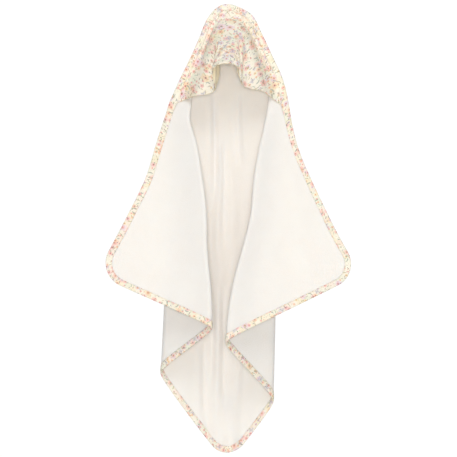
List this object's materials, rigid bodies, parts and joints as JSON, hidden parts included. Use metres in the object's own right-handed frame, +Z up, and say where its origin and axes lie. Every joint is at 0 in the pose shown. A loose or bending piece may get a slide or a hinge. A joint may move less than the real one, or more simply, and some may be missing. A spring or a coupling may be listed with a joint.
{
  "type": "hooded baby towel",
  "caption": "Square terry baby towel with rounded corners, bound all round in small floral print, with a lined print hood over one corner; shown hanging open from the hood.",
  "frame": {"origin": "the top of the hood, where it hangs", "axes": "+Z up, -Y out of the front of the towel, +X to the right seen from the front"},
  "size_m": [0.5752, 0.1653, 1.0652],
  "materials": {
    "terry": "off-white cotton terry",
    "print": "plain-weave cotton, small floral print on ivory",
    "thread": "off-white sewing thread",
    "label": "blank satin tape"
  },
  "bodies": {
    "towel": {"terry_body": "terry", "hood_terry_lining": "terry", "hood_print_panel": "print", "edge_binding": "print", "edge_stitch_front": "thread", "edge_stitch_back": "thread", "hood_edge_stitch": "thread"},
    "label": {"care_label": "label"}
  },
  "joints": [
    {"name": "label_flip", "type": "hinge", "parent": "towel", "child": "label", "pos_m": [0, 0.03284, -0.925], "axis": [1, 0, 0], "range_deg": [0, 160]}
  ]
}
